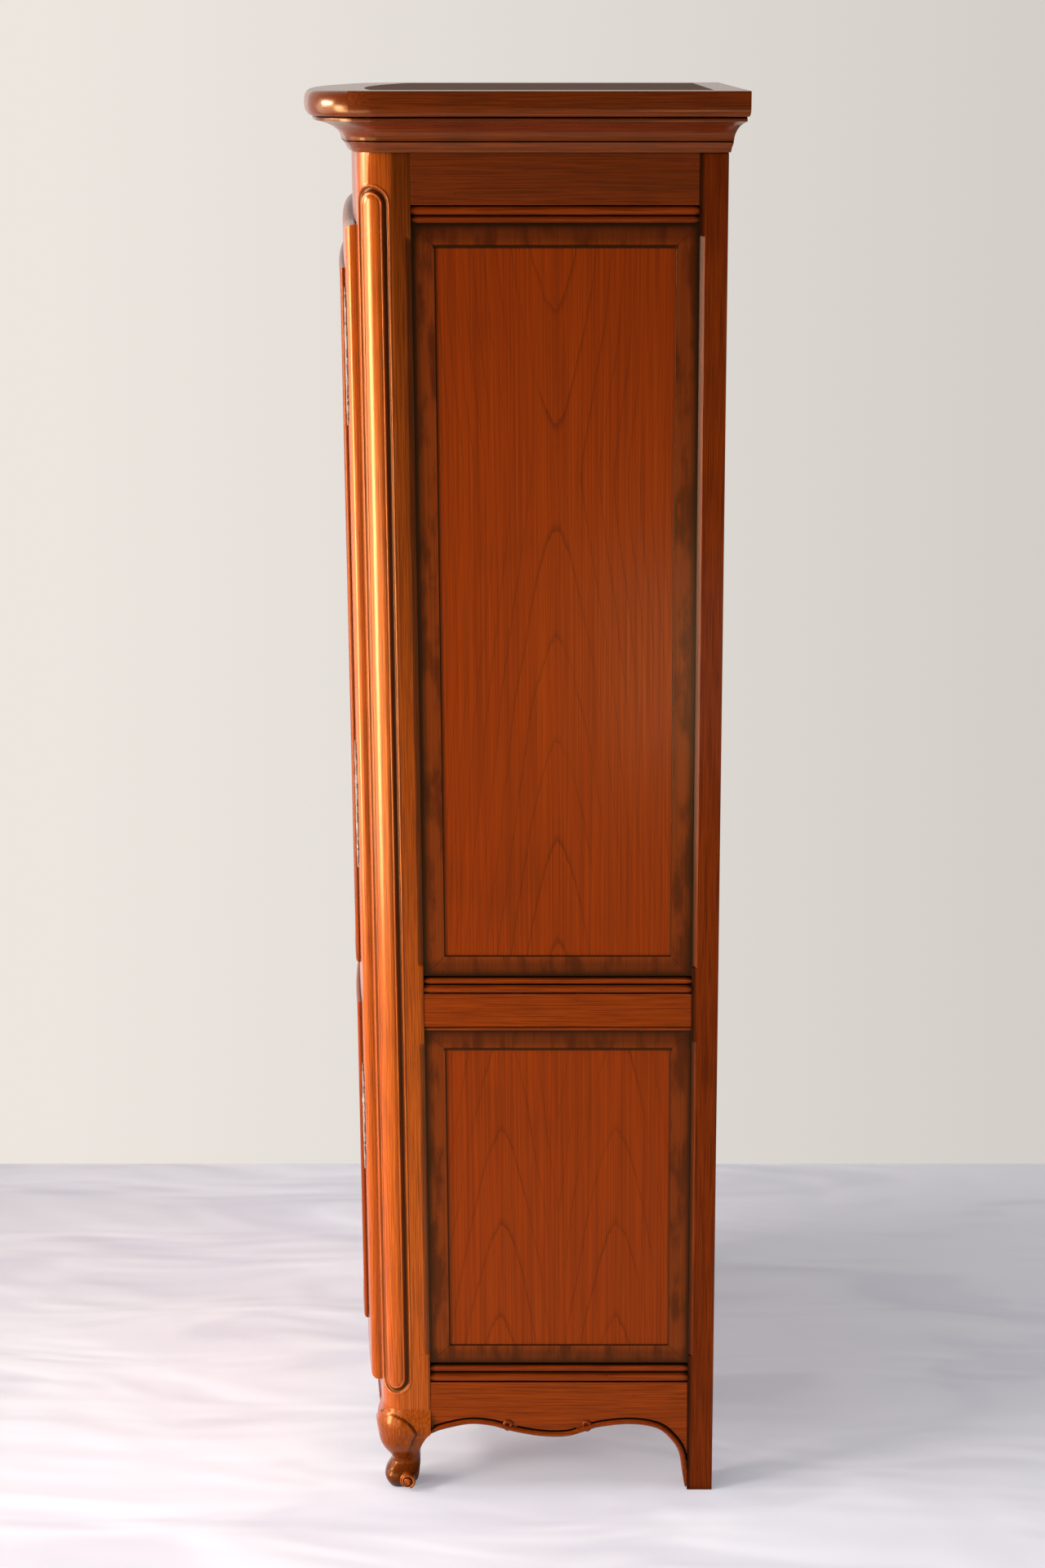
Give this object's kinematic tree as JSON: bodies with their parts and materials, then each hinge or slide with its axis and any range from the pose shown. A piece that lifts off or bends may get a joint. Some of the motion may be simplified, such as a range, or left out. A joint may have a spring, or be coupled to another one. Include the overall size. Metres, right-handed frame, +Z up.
{
  "type": "linen press",
  "caption": "Tall free-standing linen press with one bowed, panelled door, panelled sides, a moulded cornice and scroll feet.",
  "frame": {"origin": "centre of the press's outline on the floor", "axes": "+Z up, front of the press faces -Y, width along X"},
  "size_m": [0.948, 0.6188, 2.065],
  "materials": {
    "frame_wood": "satin varnished cherry, red brown",
    "panels": "satin varnished cherry veneer, orange brown",
    "interior": "plain waxed wood",
    "hardware": "aged silvered metal",
    "lock_iron": "dark oiled iron"
  },
  "bodies": {
    "carcass": {"front_post_right": "frame_wood", "front_post_left": "frame_wood", "rear_post_right": "frame_wood", "rear_post_left": "frame_wood", "side_top_rail_right": "frame_wood", "side_top_rail_left": "frame_wood", "side_middle_rail_right": "frame_wood", "side_middle_rail_left": "frame_wood", "side_bottom_rail_right": "frame_wood", "side_bottom_rail_left": "frame_wood", "side_upper_panel_right": "panels", "side_upper_panel_left": "panels", "side_lower_panel_right": "panels", "side_lower_panel_left": "panels", "side_top_moulding_right": "frame_wood", "side_top_moulding_left": "frame_wood", "side_middle_moulding_right": "frame_wood", "side_middle_moulding_left": "frame_wood", "side_bottom_moulding_right": "frame_wood", "side_bottom_moulding_left": "frame_wood", "cornice_side_right": "frame_wood", "cornice_side_left": "frame_wood", "cleat_1_right": "interior", "cleat_1_left": "interior", "cleat_2_right": "interior", "cleat_2_left": "interior", "cleat_3_right": "interior", "cleat_3_left": "interior", "frieze_rail": "frame_wood", "front_apron": "frame_wood", "cornice_front": "frame_wood", "cornice_back": "frame_wood", "cornice_top_board": "frame_wood", "carcass_top": "interior", "bottom_board": "interior", "shelf_1": "interior", "shelf_2": "interior", "shelf_3": "interior", "back_top_rail": "interior", "back_bottom_rail": "interior", "back_panel": "interior", "hinge_post_half_1": "hardware", "hinge_post_half_2": "hardware", "hinge_post_half_3": "hardware"},
    "door": {"door_hinge_stile": "frame_wood", "door_lock_stile": "frame_wood", "door_top_rail": "frame_wood", "door_middle_rail": "frame_wood", "door_bottom_rail": "frame_wood", "door_upper_panel": "panels", "door_lower_panel": "panels", "escutcheon_upper": "hardware", "escutcheon_middle": "hardware", "escutcheon_lower": "hardware", "lock_case": "lock_iron", "hinge_door_half_1": "hardware", "hinge_door_half_2": "hardware", "hinge_door_half_3": "hardware"},
    "bolt": {"lock_bolt": "lock_iron"}
  },
  "joints": [
    {"name": "door_hinge", "type": "hinge", "parent": "carcass", "child": "door", "pos_m": [-0.354, -0.23766, 1], "axis": [0, 0, -1], "range_deg": [0, 115]},
    {"name": "lock_bolt_slide", "type": "slide", "parent": "door", "child": "bolt", "axis": [1, 0, 0], "range_m": [0, 0.012]}
  ]
}
